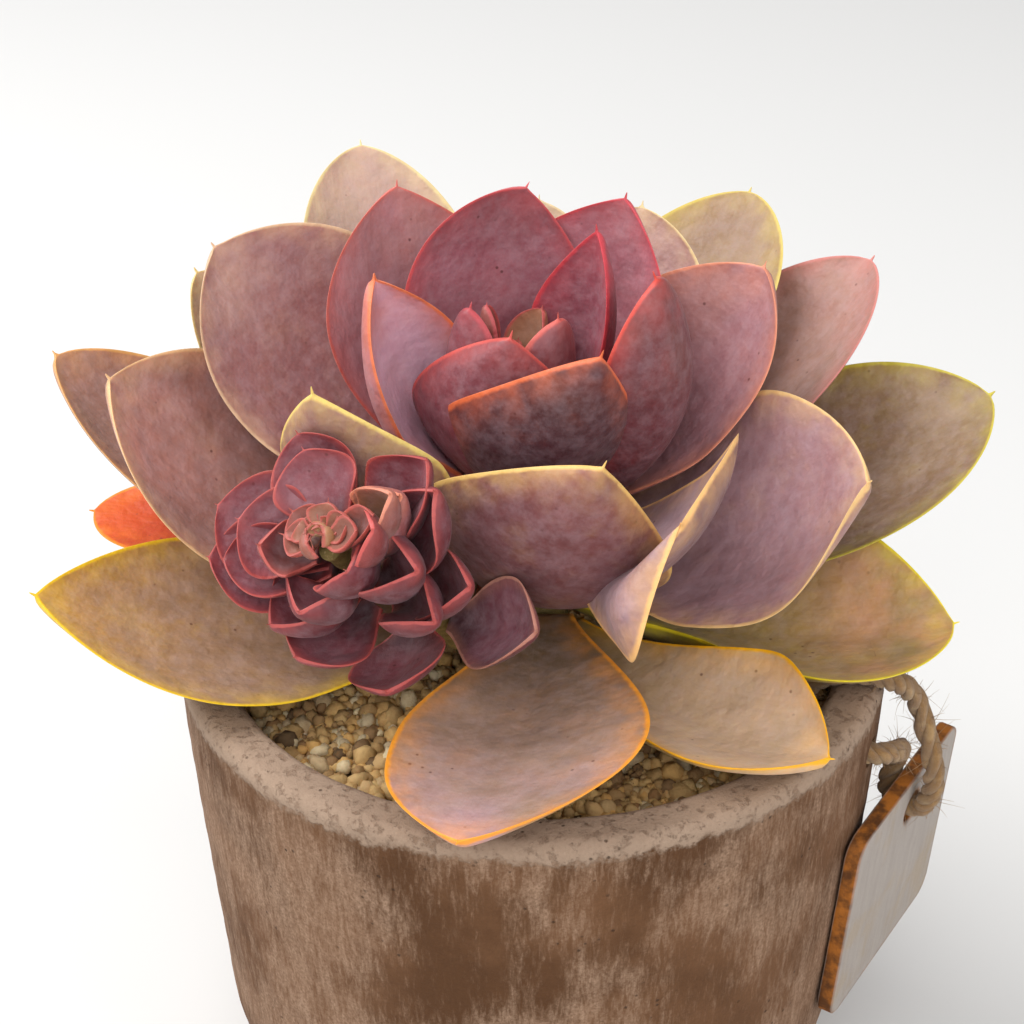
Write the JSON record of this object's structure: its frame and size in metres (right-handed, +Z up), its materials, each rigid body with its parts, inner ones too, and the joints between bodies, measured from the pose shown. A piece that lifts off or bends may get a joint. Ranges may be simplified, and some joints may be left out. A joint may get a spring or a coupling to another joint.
{
  "type": "potted succulent",
  "caption": "Rosette succulent with a small red offset in a round clay pot of grit, with a wooden tag on jute twine.",
  "frame": {"origin": "centre of the pot's foot, on the surface it rests on", "axes": "+Z up, -Y towards the side the offset rosette leans to, +X towards the tag"},
  "size_m": [0.126, 0.103, 0.1288],
  "materials": {
    "clay": "matte",
    "grit": "matte",
    "stem": "matte",
    "inner_leaf": "satin",
    "middle_leaf": "satin",
    "outer_leaf": "satin",
    "offset_leaf": "satin",
    "aged_leaf": "satin",
    "wood": "matte",
    "jute": "matte"
  },
  "bodies": {
    "root": {"aged_leaf": "aged_leaf", "grit": "grit", "heart_leaf_back": "inner_leaf", "heart_leaf_front": "inner_leaf", "heart_leaf_left": "inner_leaf", "heart_leaf_right": "inner_leaf", "inner_leaf_back_left": "inner_leaf", "inner_leaf_back_right": "inner_leaf", "inner_leaf_far_left": "inner_leaf", "inner_leaf_front": "inner_leaf", "inner_leaf_left": "inner_leaf", "inner_leaf_right": "inner_leaf", "main_stem": "stem", "middle_leaf_back": "middle_leaf", "middle_leaf_back_left": "middle_leaf", "middle_leaf_back_right": "middle_leaf", "middle_leaf_front": "middle_leaf", "middle_leaf_front_left": "middle_leaf", "middle_leaf_front_right": "middle_leaf", "middle_leaf_left": "middle_leaf", "middle_leaf_left_back": "middle_leaf", "middle_leaf_rear": "middle_leaf", "middle_leaf_right": "middle_leaf", "middle_leaf_right_back": "middle_leaf", "middle_leaf_right_front": "middle_leaf", "offset_heart": "offset_leaf", "offset_leaf_back": "offset_leaf", "offset_leaf_back_inner": "offset_leaf", "offset_leaf_back_right": "offset_leaf", "offset_leaf_fold_lower": "offset_leaf", "offset_leaf_fold_right": "offset_leaf", "offset_leaf_front": "offset_leaf", "offset_leaf_front_left": "offset_leaf", "offset_leaf_front_lower": "offset_leaf", "offset_leaf_front_lowest": "offset_leaf", "offset_leaf_front_outer": "offset_leaf", "offset_leaf_front_right": "offset_leaf", "offset_leaf_left": "offset_leaf", "offset_leaf_left_back": "offset_leaf", "offset_leaf_left_inner": "offset_leaf", "offset_leaf_left_outer": "offset_leaf", "offset_leaf_lower_right": "offset_leaf", "offset_leaf_lowest": "offset_leaf", "offset_leaf_lowest_right": "offset_leaf", "offset_leaf_right_back": "offset_leaf", "offset_leaf_right_heart": "offset_leaf", "offset_leaf_right_inner": "offset_leaf", "offset_stem": "stem", "outer_leaf_back_left": "outer_leaf", "outer_leaf_front": "outer_leaf", "outer_leaf_front_right": "outer_leaf", "outer_leaf_left_back": "outer_leaf", "outer_leaf_left_front": "outer_leaf", "outer_leaf_right": "outer_leaf", "outer_leaf_right_back": "outer_leaf", "outer_leaf_right_front": "outer_leaf", "pot": "clay", "rosette_heart": "inner_leaf", "tag": "wood", "twine": "jute"}
  },
  "joints": []
}
